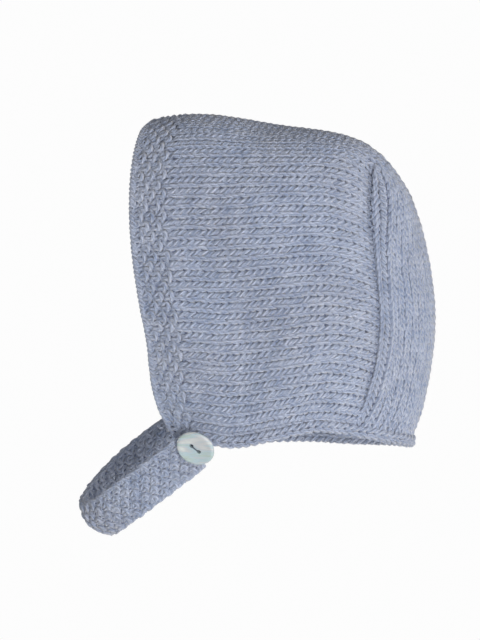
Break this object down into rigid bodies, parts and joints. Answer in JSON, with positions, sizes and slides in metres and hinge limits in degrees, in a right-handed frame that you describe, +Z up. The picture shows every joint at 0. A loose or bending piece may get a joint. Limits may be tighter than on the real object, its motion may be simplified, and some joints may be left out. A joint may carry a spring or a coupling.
{
  "type": "knitted baby bonnet",
  "caption": "Hood-shaped knitted baby bonnet with a moss-stitch face band, a sewn-in back panel, a bound-off neck edge and a chin strap that buttons at the side, kept in its worn form.",
  "frame": {"origin": "where the crown of a head presses up into the knit, 0.6 mm inside the inner face of the crown in the middle plane", "axes": "+Z up, -X the way the face looks, -Y the side with the button"},
  "size_m": [0.1615, 0.11, 0.19],
  "materials": {
    "wool": "greyish-blue wool in stocking stitch",
    "wool_band": "the same wool in moss stitch",
    "pearl": "pale mother-of-pearl, polished",
    "thread": "sewing thread"
  },
  "bodies": {
    "root": {"front_band": "wool_band", "crown_panel": "wool", "back_panel": "wool", "neck_band": "wool", "chin_strap": "wool_band", "button": "pearl", "button_thread": "thread"}
  },
  "joints": []
}
